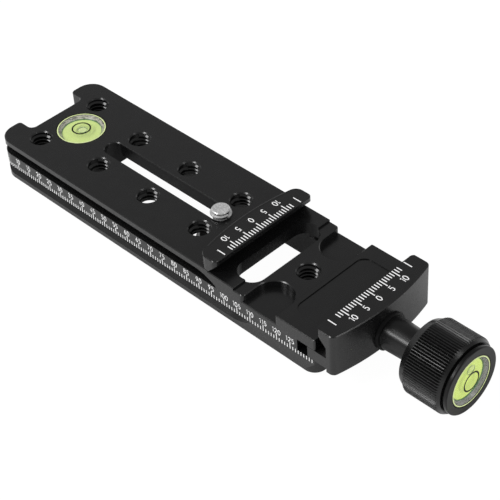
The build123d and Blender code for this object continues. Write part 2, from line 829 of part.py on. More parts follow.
with BuildPart() as camera_screw_head:
    with BuildSketch(Plane.XY.offset(thumb_head_top_z)):
        with Locations((camera_screw_x, 0)):
            Circle(thumb_head_radius)
    extrude(amount=-thumb_head_height)
    chamfer(camera_screw_head.edges(), thumb_head_chamfer)
    with BuildSketch(Plane.XY.offset(thumb_head_top_z)):
        with Locations((camera_screw_x, 0)):
            Circle(press_pin_radius)
    extrude(amount=-press_pin_length - press_pin_spare, mode=Mode.SUBTRACT)
    with BuildSketch(Plane.XY.offset(thumb_head_top_z - thumb_head_height)):
        with Locations((camera_screw_x, 0)):
            Rectangle(2 * thumb_head_radius + over, coin_slot_width)
    extrude(amount=coin_slot_depth, mode=Mode.SUBTRACT)

camera_screw_head.part.label = "camera_screw_head"

with BuildPart() as camera_washer:
    with BuildSketch(Plane.XY.offset(thumb_head_top_z)):
        with Locations((camera_screw_x, 0)):
            Circle(camera_washer_radius)
            Circle(screw_neck_radius + camera_washer_clearance, mode=Mode.SUBTRACT)
    extrude(amount=camera_washer_thickness)

camera_washer.part.label = "camera_washer"

# ======== written files, one for each piece
for sub_part in (
    rail_body,
    movable_jaw,
    clamp_stud,
    thrust_washer,
    knob_grip,
    knob_cap,
    knob_screw,
    camera_screw,
    camera_screw_head,
    camera_washer,
):
    pieces.append(sub_part.part)

os.makedirs("parts", exist_ok=True)
for piece in pieces:
    export_step(piece, f"parts/{piece.label}.step")
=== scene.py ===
import math

import bmesh
import bpy
from mathutils import Matrix, Vector


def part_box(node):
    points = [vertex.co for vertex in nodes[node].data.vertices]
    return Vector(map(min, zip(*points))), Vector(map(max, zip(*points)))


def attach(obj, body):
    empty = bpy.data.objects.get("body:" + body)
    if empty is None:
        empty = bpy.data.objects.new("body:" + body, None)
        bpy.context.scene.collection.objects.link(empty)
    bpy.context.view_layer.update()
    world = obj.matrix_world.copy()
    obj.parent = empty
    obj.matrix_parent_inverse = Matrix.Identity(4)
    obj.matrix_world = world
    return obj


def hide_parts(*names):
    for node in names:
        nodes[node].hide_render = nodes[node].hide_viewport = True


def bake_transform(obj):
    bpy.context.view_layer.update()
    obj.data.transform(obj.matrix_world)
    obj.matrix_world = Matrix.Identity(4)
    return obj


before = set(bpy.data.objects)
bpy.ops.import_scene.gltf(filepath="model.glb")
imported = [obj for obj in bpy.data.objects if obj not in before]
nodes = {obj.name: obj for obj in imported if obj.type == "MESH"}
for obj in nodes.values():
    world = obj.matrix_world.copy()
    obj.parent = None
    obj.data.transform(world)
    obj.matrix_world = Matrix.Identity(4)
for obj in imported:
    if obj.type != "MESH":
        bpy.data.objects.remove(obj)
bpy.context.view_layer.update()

# Lengths are millimetres in the rail's frame; a piece is scaled to metres when it is finished.
# Patterns, lamps and the camera use metres.
toMetres = 0.001
weldGap = 0.0005    # points of a piece that are closer than this are merged
railTop = 14.0
jawTop = 18.6
knobAxisZ = 9.15    # height of the axis that the knob and the stud share
scene = bpy.context.scene
print("frame loaded:", len(nodes), "nodes")


# A shader socket that takes Python's operators.
class Value:
    def __init__(self, finish, socket):
        self.finish = finish
        self.socket = socket

    def maths(self, operation, first, second):
        return self.finish.node("ShaderNodeMath", {"operation": operation}, {0: first, 1: second})

    def __add__(self, other):
        return self.maths("ADD", self, other)

    def __radd__(self, other):
        return self.maths("ADD", other, self)

    def __sub__(self, other):
        return self.maths("SUBTRACT", self, other)

    def __rsub__(self, other):
        return self.maths("SUBTRACT", other, self)

    def __mul__(self, other):
        return self.maths("MULTIPLY", self, other)

    def __rmul__(self, other):
        return self.maths("MULTIPLY", other, self)

    def __pow__(self, other):
        return self.maths("POWER", self, other)

    def ramp(self, low, high):    # 0 at low, 1 at high
        sockets = {"Value": self, "From Min": low, "From Max": high}
        return self.finish.node("ShaderNodeMapRange", {"clamp": True}, sockets)


# The nodes of one material, or of the world.
class Finish:
    def __init__(self, owner):
        self.owner = owner
        owner.use_nodes = True
        self.tree = owner.node_tree
        self.tree.nodes.clear()

    def node(self, kind, settings=None, sockets=None, output=0):
        made = self.tree.nodes.new(kind)
        for name, setting in (settings or {}).items():
            setattr(made, name, setting)
        for name, value in (sockets or {}).items():
            if isinstance(value, Value):
                self.tree.links.new(value.socket, made.inputs[name])
            else:
                made.inputs[name].default_value = value
        return Value(self, made.outputs[output]) if made.outputs else None

    def rayIs(self, kind):
        return self.node("ShaderNodeLightPath", output=f"Is {kind} Ray")

    def place(self):
        return self.node("ShaderNodeTexCoord", output="Object")

    def mapped(self, **sockets):
        return self.node("ShaderNodeMapping", sockets={"Vector": self.place(), **sockets})

    def axes(self, vector):
        split = self.node("ShaderNodeSeparateXYZ", sockets={"Vector": vector})
        outputs = split.socket.node.outputs
        return [Value(self, outputs[name]) for name in "XYZ"]

    def vector(self, x, y, z):
        return self.node("ShaderNodeCombineXYZ", sockets={"X": x, "Y": y, "Z": z})

    def noise(self, vector, scale, detail=2.0, roughness=0.5):
        sockets = {"Vector": vector, "Scale": scale, "Detail": detail, "Roughness": roughness}
        return self.node("ShaderNodeTexNoise", sockets=sockets)

    def blend(self, factor, low, high):    # between two colours
        sockets = {0: factor, 6: low, 7: high}
        return self.node("ShaderNodeMix", {"data_type": "RGBA"}, sockets, output=2)

    def bump(self, height, strength, distance):
        sockets = {"Height": height, "Strength": strength, "Distance": distance}
        return self.node("ShaderNodeBump", sockets=sockets)

    def surface(self, **sockets):
        named = {name.replace("_", " "): value for name, value in sockets.items()}
        shader = self.node("ShaderNodeBsdfPrincipled", sockets=named)
        self.node("ShaderNodeOutputMaterial", sockets={"Surface": shader})
        return self.owner


def newFinish(name):
    return Finish(bpy.data.materials.new(name))


def grey(level, tint=0.0):    # a tint above 0 leans to blue
    return (level, level, level * (1 + tint), 1.0)


# Satin black of the rail and the jaw: fine blasted grain with soft patches.
anodisedSetup = {
    "dark": grey(0.003, 0.03),
    "light": grey(0.007, 0.03),
    "grain": 3800.0,
    "patch": 260.0,
    "patchShare": 0.6,
    "roughness": 0.18,
    "grainRoughness": 0.1,
    "patchRoughness": 0.06,
    "bump": 0.25,
    "bumpDepth": 0.00004,
}


def anodisedFinish():
    setup = anodisedSetup
    finish = newFinish("blackAnodised")
    place = finish.place()
    grain = finish.noise(place, setup["grain"], 2.0, 0.6)
    patch = finish.noise(place, setup["patch"], 3.0)
    shade = patch * setup["patchShare"] + grain * (1 - setup["patchShare"])
    return finish.surface(
        Base_Color=finish.blend(shade, setup["dark"], setup["light"]),
        Roughness=setup["roughness"] + grain * setup["grainRoughness"] + patch * setup["patchRoughness"],
        Specular_IOR_Level=0.5,
        Normal=finish.bump(grain, setup["bump"], setup["bumpDepth"]),
    )


# Glossy black of the turned knob, with fine rings round its axis.
turnedSetup = {
    "dark": grey(0.002),
    "light": grey(0.005),
    "lines": 5200.0,
    "patch": 400.0,
    "roughnessSpread": 0.06,
    "bump": 0.03,
    "bumpDepth": 0.00003,
}


def turnedFinish(name, roughness, specular):
    setup = turnedSetup
    finish = newFinish(name)
    x, y, z = finish.axes(finish.place())
    height = z - knobAxisZ * toMetres
    radius = (y * y + height * height) ** 0.5
    rings = finish.noise(finish.vector(x, radius, 0.0), setup["lines"])
    patch = finish.noise(finish.place(), setup["patch"])
    return finish.surface(
        Base_Color=finish.blend(patch * 0.5 + rings * 0.5, setup["dark"], setup["light"]),
        Roughness=roughness + rings * setup["roughnessSpread"] + patch * setup["roughnessSpread"],
        Specular_IOR_Level=specular,
        Normal=finish.bump(rings, setup["bump"], setup["bumpDepth"]),
    )


# Worn steel: mottled, with fine scratches that run along X and Z.
steelSetup = {
    "mottle": 1500.0,
    "scratch": 900.0,
    "scratchStretch": (1.0, 9.0, 1.0),
    "mottleRoughness": 0.16,
    "scratchRoughness": 0.05,
    "bump": 0.25,
    "bumpDepth": 0.00005,
}


def steelFinish(name, dark, light, roughness, metallic=1.0):
    setup = steelSetup
    finish = newFinish(name)
    mottle = finish.noise(finish.place(), setup["mottle"], 3.0, 0.65)
    scratch = finish.noise(finish.mapped(Scale=setup["scratchStretch"]), setup["scratch"])
    return finish.surface(
        Base_Color=finish.blend(mottle, dark, light),
        Roughness=roughness + mottle * setup["mottleRoughness"] + scratch * setup["scratchRoughness"],
        Metallic=metallic,
        Normal=finish.bump(mottle, setup["bump"], setup["bumpDepth"]),
    )


# Paints, plastics and oxide: an even surface with a light speckle.
plainSetup = {"grain": 2500.0, "roughnessSpread": 0.12, "bump": 0.15, "bumpDepth": 0.00003}


def plainFinish(name, dark, light, roughness, specular, grain=plainSetup["grain"], metallic=0.0):
    setup = plainSetup
    finish = newFinish(name)
    speckle = finish.noise(finish.place(), grain)
    return finish.surface(
        Base_Color=finish.blend(speckle, dark, light),
        Roughness=roughness + speckle * setup["roughnessSpread"],
        Metallic=metallic,
        Specular_IOR_Level=specular,
        Normal=finish.bump(speckle, setup["bump"], setup["bumpDepth"]),
    )


anodised = anodisedFinish()
# Near-black of the tapped holes' threads; on the steel camera screw it is painted shade in the thread's
# root.
blackThreadAndRootShade = plainFinish("blackThreadAndRootShade", grey(0.003), grey(0.006), 0.1, 0.5)
knobBlack = turnedFinish("knobBlack", 0.2, 0.4)
capBlack = turnedFinish("capBlack", 0.25, 0.22)
brightSteel = steelFinish("brightSteel", grey(0.36), grey(0.95), 0.16, 0.6)
pinSteel = steelFinish("pinSteel", grey(0.35), grey(0.6), 0.25)
blackSteel = plainFinish("blackOxideSteel", grey(0.02), grey(0.04), 0.32, 0.5, metallic=0.6)
blackNylon = plainFinish("blackNylon", grey(0.006), grey(0.01), 0.42, 0.3)
markWhite = plainFinish("markWhite", grey(0.86), grey(0.94), 0.55, 0.3)

cadFinishes = {
    "rail_body": anodised,
    "movable_jaw": anodised,
    "guide_pin_near": pinSteel,
    "guide_pin_far": pinSteel,
    "thrust_washer": blackNylon,
    "knob_grip": knobBlack,
    "knob_cap": capBlack,
    "knob_screw": blackSteel,
    "camera_screw_head": brightSteel,
    "camera_washer": blackNylon,
}
for name, material in cadFinishes.items():
    nodes[name].data.materials.clear()
    nodes[name].data.materials.append(material)
print("finishes made:", len(bpy.data.materials))


# Merges, scales and links a piece, and attaches it to its body when it is given one.
def finishPiece(name, bm, body, materials, smoothAngle=35.0, replaces=()):
    bmesh.ops.remove_doubles(bm, verts=bm.verts, dist=weldGap)
    bmesh.ops.recalc_face_normals(bm, faces=bm.faces)
    bmesh.ops.scale(bm, vec=(toMetres,) * 3, verts=bm.verts)
    mesh = bpy.data.meshes.new(name)
    bm.to_mesh(mesh)
    bm.free()
    mesh.shade_smooth()
    mesh.set_sharp_from_angle(angle=math.radians(smoothAngle))
    for material in materials:
        mesh.materials.append(material)
    piece = bpy.data.objects.new(name, mesh)
    scene.collection.objects.link(piece)
    if body:
        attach(piece, body)
    if replaces:
        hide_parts(*replaces)
    return piece


# Place whose X goes to the right, Y up and Z out of the face.
def turned(right, up, origin):
    across, top = Vector(right), Vector(up)
    out = across.cross(top)
    return Matrix((
        (across.x, top.x, out.x, origin[0]),
        (across.y, top.y, out.y, origin[1]),
        (across.z, top.z, out.z, origin[2]),
        (0, 0, 0, 1),
    ))


# Place on the rail's length whose Z is the rail's X, for what is turned about a line along the rail.
def alongRail(x, y, z):
    return turned((0, 0, 1), (0, -1, 0), (x, y, z))


# Turns a section of (radius, height) points about the local Z axis.
def turnSection(bm, section, place, steps=72, material=0, closed=False):
    corners = [bm.verts.new((radius, 0, height)) for radius, height in section]
    ends = corners[1:] + corners[:1] if closed else corners[1:]
    edges = [bm.edges.new(pair) for pair in zip(corners, ends)]
    known = set(bm.faces)
    bmesh.ops.spin(bm, geom=corners + edges, cent=(0, 0, 0), axis=(0, 0, 1), dvec=(0, 0, 0),
                   angle=2 * math.pi, steps=steps, use_merge=True, use_duplicate=False)
    made = [face for face in bm.faces if face not in known]
    for face in made:
        face.material_index = material
    bmesh.ops.transform(bm, matrix=place, verts=list({vert for face in made for vert in face.verts}))


# Winds one ridge round the local Z axis; the section is (radius, height) points.
def windRidge(bm, section, pitch, turns, place, steps=28):
    known = set(bm.verts)
    corners = [bm.verts.new((radius, 0, height)) for radius, height in section]
    ridge = bm.faces.new(corners)
    bmesh.ops.spin(bm, geom=[ridge], cent=(0, 0, 0), axis=(0, 0, 1), dvec=(0, 0, pitch / steps),
                   angle=2 * math.pi * turns, steps=round(steps * turns), use_duplicate=False)
    made = [vert for vert in bm.verts if vert not in known]
    bmesh.ops.transform(bm, matrix=place, verts=made)


# White numbers, drawn with a round stroke and pressed flat.
numberSetup = {
    "stroke": 0.15,    # share of a number's height, as the widths and the gap are
    "digitWidth": 0.44,
    "oneWidth": 0.2,
    "digitGap": 0.34,
    "rise": 0.012,    # paint stands this far out of the metal, and as far into it
}

# Centre lines of the digits in a cell of height 1: s is a straight point, r a round one.
digitStrokes = {
    "0": [("closed", "r0,.24 r0,.76 r.22,1 r.44,.76 r.44,.24 r.22,0")],
    "1": [("open", "s0,.8 s.2,1 s.2,0")],
    "2": [("open", "r0,.78 r.22,1 r.44,.74 r.34,.46 s0,0 s.46,0")],
    "3": [("open", "r0,.86 r.22,1 r.42,.77 r.18,.54 r.44,.28 r.22,0 r0,.16")],
    "4": [("open", "s.34,0 s.34,1 s0,.3 s.46,.3")],
    "5": [("open", "s.42,1 s.05,1 s.03,.56 r.24,.63 r.44,.32 r.22,0 r0,.14")],
    "6": [("open", "s.34,1 r.06,.5 r0,.28 r.22,0 r.44,.28 r.22,.56 r.03,.38")],
    "7": [("open", "s0,1 s.44,1 s.14,0")],
    "8": [("closed", "r.22,1 r.4,.77 r.22,.54 r.04,.77"), ("closed", "r.22,.54 r.44,.27 r.22,0 r0,.27")],
    "9": [("open", "s.1,0 r.38,.5 r.44,.72 r.22,1 r0,.72 r.22,.44 r.41,.62")],
}


def digitMesh(digit):
    curve = bpy.data.curves.new("digit" + digit, "CURVE")
    curve.dimensions = "3D"
    curve.bevel_depth = numberSetup["stroke"] / 2
    curve.bevel_resolution = 1
    curve.resolution_u = 4
    curve.use_fill_caps = True
    for way, text in digitStrokes[digit]:
        points = text.split()
        spline = curve.splines.new("BEZIER")
        spline.bezier_points.add(len(points) - 1)
        for point, words in zip(spline.bezier_points, points):
            across, up = words[1:].split(",")
            point.co = (float(across), float(up), 0)
            kind = "AUTO" if words[0] == "r" else "VECTOR"
            point.handle_left_type = point.handle_right_type = kind
        spline.use_cyclic_u = way == "closed"
    holder = bpy.data.objects.new("digitHolder", curve)
    scene.collection.objects.link(holder)
    bpy.context.view_layer.update()
    mesh = bpy.data.meshes.new_from_object(holder)
    bpy.data.objects.remove(holder)
    return mesh


digitMeshes = {digit: digitMesh(digit) for digit in digitStrokes}


# Sets a number with its middle at the place's origin, reading along its X with its top to Y.
def addNumber(bm, number, height, place):
    setup = numberSetup
    widths = [setup["oneWidth"] if digit == "1" else setup["digitWidth"] for digit in number]
    across = -(sum(widths) + setup["digitGap"] * (len(number) - 1)) / 2
    flat = setup["rise"] / (setup["stroke"] / 2 * height)
    size = Matrix.Diagonal((height, height, height * flat, 1))
    for digit, width in zip(number, widths):
        known = set(bm.verts)
        bm.from_mesh(digitMeshes[digit])
        made = [vert for vert in bm.verts if vert not in known]
        shift = Matrix.Translation((across, -0.5, 0))
        bmesh.ops.transform(bm, matrix=place @ size @ shift, verts=made)
        across += width + setup["digitGap"]


def addTick(bm, width, length, place):
    size = Matrix.Diagonal((width, length, 2 * numberSetup["rise"], 1))
    bmesh.ops.create_cube(bm, size=1.0, matrix=place @ Matrix.Translation((0, length / 2, 0)) @ size)


# The millimetre scale on the rail's near side; its first ticks go round the left corner.
sideScale = {
    "zeroX": -113.8,
    "y": -19.2,
    "cornerX": -107.0,
    "cornerRadius": 5.5,
    "ticks": range(4, 134),
    "tickWidth": 0.28,
    "tickBottom": 4.72,
    "shortTop": 5.95,
    "longTop": 6.9,
    "longEndX": 13.0,    # past the last number every tick is short
    "numbers": range(10, 130, 5),
    "numberHeight": 1.6,
    "numberZ": 7.95,
}


# Point on the near side and the direction along it.
def sidePoint(x):
    away = sideScale["cornerX"] - x
    if away <= 0:
        return (x, sideScale["y"]), (1, 0, 0)
    lean = math.asin(away / sideScale["cornerRadius"])
    y = sideScale["y"] + sideScale["cornerRadius"] * (1 - math.cos(lean))
    return (x, y), (math.cos(lean), -math.sin(lean), 0)


def sideScalePiece():
    setup = sideScale
    upright = (0, 0, 1)
    bm = bmesh.new()
    for value in setup["ticks"]:
        (x, y), along = sidePoint(setup["zeroX"] + value)
        isLong = value % 5 == 0 and x < setup["longEndX"]
        top = setup["longTop"] if isLong else setup["shortTop"]
        place = turned(along, upright, (x, y, setup["tickBottom"]))
        addTick(bm, setup["tickWidth"], top - setup["tickBottom"], place)
    for value in setup["numbers"]:
        origin = (setup["zeroX"] + value, setup["y"], setup["numberZ"])
        addNumber(bm, str(value), setup["numberHeight"], turned((1, 0, 0), upright, origin))
    finishPiece("side_scale", bm, "rail", [markWhite])


# The scales on the two jaws, which mirror each other.
jawScaleSetup = {
    "values": range(-12, 13),
    "tickWidth": 0.33,
    "shortTick": 1.85,
    "longTick": 2.95,
    "endTickY": 14.85,
    "numbers": (-10, -5, 0, 5, 10),
    "numberHeight": 1.88,
}
jawScales = {
    "fixed_jaw_scale": {"body": "rail", "lipX": -16.75, "outward": -1, "numberX": -21.65},
    "moving_jaw_scale": {"body": "jaw", "lipX": 21.15, "outward": 1, "numberX": 25.6},
}


def jawScalePiece(name, jaw):
    setup = jawScaleSetup
    outward = jaw["outward"]
    right, up = (0, outward, 0), (-outward, 0, 0)
    ticks = []
    for value in setup["values"]:
        ticks.append((value, setup["longTick"] if value % 5 == 0 else setup["shortTick"]))
    for side in (-setup["endTickY"], setup["endTickY"]):
        ticks.append((side, setup["longTick"]))
    bm = bmesh.new()
    for y, length in ticks:
        start = (jaw["lipX"] + outward * length, y, jawTop)
        addTick(bm, setup["tickWidth"], length, turned(right, up, start))
    for value in setup["numbers"]:
        place = turned(right, up, (jaw["numberX"], value, jawTop))
        addNumber(bm, str(abs(value)), setup["numberHeight"], place)
    finishPiece(name, bm, jaw["body"], [markWhite])


sideScalePiece()
for name, jaw in jawScales.items():
    jawScalePiece(name, jaw)
print("scales set")

# The fixed jaw's curved back edge is broken a little, which shows as a fine light line.
# Its section is points inward from the edge and up from the jaw's top.
backEdge = {
    "centreX": 51.1,
    "radius": 76.0,
    "halfWidth": 15.6,
    "section": [(0.26, -0.02), (0.28, 0.01), (0.54, 0.08), (1.2, -0.02)],
    "steps": 32,
}


def backEdgePiece():
    bm = bmesh.new()
    radius = backEdge["radius"]
    corners = [bm.verts.new((radius - inward, 0, height)) for inward, height in backEdge["section"]]
    ridge = bm.faces.new(corners)
    half = math.asin(backEdge["halfWidth"] / radius)
    bmesh.ops.rotate(bm, cent=(0, 0, 0), matrix=Matrix.Rotation(math.pi - half, 3, "Z"), verts=corners)
    bmesh.ops.spin(bm, geom=[ridge], cent=(0, 0, 0), axis=(0, 0, 1), dvec=(0, 0, 0), angle=2 * half,
                   steps=backEdge["steps"], use_duplicate=False)
    bmesh.ops.transform(bm, matrix=Matrix.Translation((backEdge["centreX"], 0, jawTop)), verts=bm.verts)
    finishPiece("fixed_jaw_edge", bm, "rail", [anodised], smoothAngle=20.0)


backEdgePiece()

# Threads of the camera screw's size, in all nine tapped holes.
threadSetup = {
    "pitch": 1.27,
    "major": 3.22,
    "minor": 2.62,
    "halfRoot": 0.5,
    "halfCrest": 0.12,
    "mouth": 0.4,
    "runIn": 0.05,
}
holeSetup = {
    "clampFloorTop": 12.7,
    "blockX": -100.8,
    "blockY": 11.3,
    "rowXs": (-77.7, -55.9, -34.2),
    "rowY": 8.2,
    "rowBottom": 9.5,    # the ceiling of the channel
}


def tappedHoles():    # middle, lower end and upper end of each
    holes = [(0.0, 0.0, 0.0, holeSetup["clampFloorTop"])]
    for y in (holeSetup["blockY"], -holeSetup["blockY"]):
        holes.append((holeSetup["blockX"], y, 0.0, railTop))
    for x in holeSetup["rowXs"]:
        for y in (-holeSetup["rowY"], holeSetup["rowY"]):
            holes.append((x, y, holeSetup["rowBottom"], railTop))
    return holes


def holeThreadsPiece():
    setup = threadSetup
    ridge = [
        (setup["major"], -setup["halfRoot"]),
        (setup["minor"], -setup["halfCrest"]),
        (setup["minor"], setup["halfCrest"]),
        (setup["major"], setup["halfRoot"]),
    ]
    bm = bmesh.new()
    for x, y, bottom, top in tappedHoles():
        start = bottom + setup["halfRoot"] + setup["runIn"]
        turns = (top - setup["mouth"] - setup["halfRoot"] - start) / setup["pitch"]
        windRidge(bm, ridge, setup["pitch"], turns, Matrix.Translation((x, y, start)))
    finishPiece("hole_threads", bm, "rail", [blackThreadAndRootShade], smoothAngle=25.0)


holeThreadsPiece()

# The captive camera screw: dished tip, thread whose root is painted near-black as shade, neck through the
# slot and pin into the thumb head.
# The tip's points are radius and depth under its top; the ridge's are radius and height.
cameraScrew = {
    "x": -34.0,
    "top": 16.25,
    "tip": [(0, 0.06), (1.9, 0.06), (2.05, 0), (2.35, 0), (2.68, 0.28), (2.68, 0.4)],
    "rootRadius": 2.4,
    "rootDepth": 0.6,
    "rootBottom": 14.1,
    "neckRadius": 2.45,
    "neckTop": 14.0,
    "neckBottom": 6.15,
    "pinRadius": 1.6,
    "pinBottom": 3.55,
    "ridge": [(2.3, -0.42), (3.175, -0.16), (3.175, 0.1), (2.3, 0.42)],
    "ridgeZ": 14.3,
    "pitch": 0.9,
    "turns": 1.0,
}


def cameraScrewPiece():
    setup = cameraScrew
    place = Matrix.Translation((setup["x"], 0, 0))
    tip = [(radius, setup["top"] - depth) for radius, depth in setup["tip"]]
    neck = (setup["neckRadius"], setup["neckTop"])
    bm = bmesh.new()
    turnSection(bm, tip, place)
    # Material 1 paints the thread's root near-black: painted shade between the turns.
    turnSection(bm, [
        tip[-1],
        (setup["rootRadius"], setup["top"] - setup["rootDepth"]),
        (setup["rootRadius"], setup["rootBottom"]),
        neck,
    ], place, material=1)
    turnSection(bm, [
        neck,
        (setup["neckRadius"], setup["neckBottom"]),
        (setup["pinRadius"], setup["neckBottom"]),
        (setup["pinRadius"], setup["pinBottom"]),
        (0, setup["pinBottom"]),
    ], place)
    ridgePlace = place @ Matrix.Translation((0, 0, setup["ridgeZ"]))
    windRidge(bm, setup["ridge"], setup["pitch"], setup["turns"], ridgePlace, steps=48)
    finishPiece("camera_screw_threaded", bm, "camera_screw", [brightSteel, blackThreadAndRootShade],
                replaces=["camera_screw"])


cameraScrewPiece()

# The stud that the knob turns in the rail; its front end holds the knob's screw.
clampStud = {
    "tipX": 8.4,
    "tipChamfer": 0.4,
    "rootRadius": 2.45,
    "threadEndX": 24.0,
    "shoulder": 0.5,
    "shankRadius": 3.0,
    "frontX": 47.5,
    "boreRadius": 1.5,
    "boreEndX": 42.4,
    "ridge": [(2.4, -0.4), (3.0, -0.08), (3.0, 0.08), (2.4, 0.4)],
    "pitch": 1.0,
    "runIn": 0.7,
    "runOut": 0.5,
}


def clampStudPiece():
    setup = clampStud
    section = [
        (0, setup["tipX"]),
        (setup["rootRadius"] - setup["tipChamfer"], setup["tipX"]),
        (setup["rootRadius"], setup["tipX"] + setup["tipChamfer"]),
        (setup["rootRadius"], setup["threadEndX"]),
        (setup["shankRadius"], setup["threadEndX"] + setup["shoulder"]),
        (setup["shankRadius"], setup["frontX"]),
        (setup["boreRadius"], setup["frontX"]),
        (setup["boreRadius"], setup["boreEndX"]),
        (0, setup["boreEndX"]),
    ]
    bm = bmesh.new()
    turnSection(bm, section, alongRail(0, 0, knobAxisZ))
    turns = (setup["threadEndX"] - setup["tipX"] - setup["runIn"] - setup["runOut"]) / setup["pitch"]
    start = alongRail(setup["tipX"] + setup["runIn"], 0, knobAxisZ)
    windRidge(bm, setup["ridge"], setup["pitch"], turns, start)
    finishPiece("clamp_stud_threaded", bm, "knob", [pinSteel], replaces=["clamp_stud"])


clampStudPiece()
print("threads cut")

# The springs round the guide pins, which are squeezed between the rail and the jaw.
springSetup = {"coilRadius": 1.55, "wireRadius": 0.2, "wireSides": 8, "turns": 6, "steps": 24}


def springPiece(node):
    low, high = (Vector(corner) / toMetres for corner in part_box(node))
    middle = (low + high) / 2
    coil, wire = springSetup["coilRadius"], springSetup["wireRadius"]
    section = []
    for side in range(springSetup["wireSides"]):
        angle = 2 * math.pi * side / springSetup["wireSides"]
        section.append((coil + wire * math.cos(angle), wire * math.sin(angle)))
    pitch = (high.x - low.x - 2 * wire) / springSetup["turns"]
    bm = bmesh.new()
    start = alongRail(low.x + wire, middle.y, middle.z)
    windRidge(bm, section, pitch, springSetup["turns"], start, steps=springSetup["steps"])
    spring = finishPiece(node + "_coil", bm, None, [pinSteel], smoothAngle=60.0, replaces=[node])
    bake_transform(spring)


for side in ("near", "far"):
    springPiece("jaw_spring_" + side)
print("springs wound")


# The levels' lime fluid, seen over its bright base.
limeSetup = {"cloud": 350.0, "roughness": 0.35, "roughnessSpread": 0.1, "specular": 0.2}


def limeFinish(name, dark, light):
    finish = newFinish(name)
    cloud = finish.noise(finish.place(), limeSetup["cloud"])
    return finish.surface(
        Base_Color=finish.blend(cloud, dark, light),
        Roughness=limeSetup["roughness"] + cloud * limeSetup["roughnessSpread"],
        Specular_IOR_Level=limeSetup["specular"],
    )


# Moulding streaks on a level's inner wall, which run round its axis.
wallSetup = {
    "streak": 700.0,
    "acrossStreak": 5.0,
    "low": 0.4,
    "high": 0.62,
    "roughness": 0.2,
    "roughnessSpread": 0.15,
}


def wallFinish(name, centre, axis, dark, light):
    setup = wallSetup
    finish = newFinish(name)
    x, y, z = finish.axes(finish.mapped(Location=[-length * toMetres for length in centre]))
    across, along = (y, x) if axis == "Z" else (z, y)
    radius = (across * across + along * along) ** 0.5
    pattern = finish.vector(radius * setup["acrossStreak"], across, along)
    streak = finish.noise(pattern, setup["streak"], 4.0, 0.7)
    return finish.surface(
        Base_Color=finish.blend(streak.ramp(setup["low"], setup["high"]), dark, light),
        Roughness=setup["roughness"] + streak * setup["roughnessSpread"],
    )


# Clear acrylic and the bubble's skin, with a faint haze.
clearSetup = {
    "haze": 260.0,
    "roughness": 0.04,
    "roughnessSpread": 0.05,
    "alphaFloor": 0.6,
    "alphaSpread": 0.8,
    "index": 1.49,
}


def clearFinish(name, colour, alpha):
    setup = clearSetup
    finish = newFinish(name)
    haze = finish.noise(finish.place(), setup["haze"], 3.0)
    return finish.surface(
        Base_Color=finish.blend(haze, colour, grey(1.0)),
        Roughness=setup["roughness"] + haze * setup["roughnessSpread"],
        Alpha=alpha * setup["alphaFloor"] + haze * (alpha * setup["alphaSpread"]),
        IOR=setup["index"],
    )


railLevelCentre = (-95.3, 0, railTop)
knobLevelCentre = (56.75, 0, knobAxisZ)
railLime = limeFinish("railLime", (0.56, 0.71, 0.21, 1), (0.62, 0.75, 0.26, 1))
# The knob level's lime is a lighter copy of the rail level's: painted light for its end face, which the
# lamps light less.
knobLimePaintedLighter = limeFinish("knobLimePaintedLighter", (0.72, 0.9, 0.19, 1), (0.78, 0.95, 0.24, 1))
railWall = wallFinish("railLevelWall", railLevelCentre, "Z", (0.06, 0.06, 0.05, 1), (0.5, 0.48, 0.42, 1))
knobWall = wallFinish("knobLevelWall", knobLevelCentre, "X", grey(0.17), grey(0.24))
acrylicRim = plainFinish("acrylicRim", (0.55, 0.68, 0.22, 1), (0.86, 0.93, 0.55, 1), 0.15, 0.5, grain=500.0)
# Dark green painted shade for the fluid's edge where it meets the wall.
fluidEdgePaintedShade = plainFinish("fluidEdgePaintedShade", (0.02, 0.1, 0.02, 1), (0.05, 0.2, 0.04, 1), 0.3, 0.4)
# Black of the printed ring, also used as painted shade on each level's outer bevel and rim step.
printAndGapShadeBlack = plainFinish("printAndGapShadeBlack", grey(0.003), grey(0.006), 0.4, 0.15)
lensClear = clearFinish("lensClear", (0.9, 0.95, 0.8, 1), 0.03)
# The bubbles' outlines are painted: dark green as painted shade on the rail level's bubble, pale green as
# painted light on the knob level's.
bubbleOutlineShade = plainFinish("bubbleOutlinePaintedShade", (0.05, 0.14, 0.02, 1), (0.14, 0.27, 0.06, 1), 0.2, 0.4)
bubbleOutlineLight = plainFinish("bubbleOutlinePaintedLight", (0.3, 0.42, 0.14, 1), (0.5, 0.62, 0.28, 1), 0.2, 0.4)
bubbleClear = clearFinish("bubbleClear", (0.85, 0.95, 0.6, 1), 0.08)

# The outlines of a level's parts are (radius, height) points from the middle of its face.
cupSetup = {
    # Material 3 on the shell's top bevel and on the step is black: painted shade for the dark gap round the
    # vial and the crease inside its rim.
    "shell": {"outline": [(0, -5.4), (7.7, -5.4), (7.7, -0.24), (7.46, -0.04)], "material": 3},
    "rim": {"outline": [(7.46, -0.04), (7.38, 0), (7.22, 0), (7.1, -0.05)], "material": 0},
    "step": {"outline": [(7.1, -0.05), (7.02, -0.2)], "material": 3},
    "wall": {"outline": [(7.02, -0.2), (6.2, -1.1)], "material": 1},
    # The fluid's edge band is dark green: painted shade at the meniscus.
    "fluidEdgePaintedShade": {"outline": [(6.2, -1.1), (6.0, -1.37)], "material": 2},
}
fluidOutline = [(0, -1.95), (6.0, -1.95), (6.0, -1.35), (3.0, -1.33), (0, -1.32)]
ringSetup = {"width": 0.48, "low": -0.06, "high": -0.03}    # printed under the lens
bubbleSetup = {
    "under": {"outline": [(0, -0.8), (0.75, -0.74), (1.395, -0.55)], "material": 1},
    "edge": {"outline": [(1.395, -0.55), (1.5, -0.38), (1.44, -0.29)], "material": 0},
    "dome": {"outline": [(1.44, -0.29), (0.75, -0.26), (0, -0.25)], "material": 1},
}
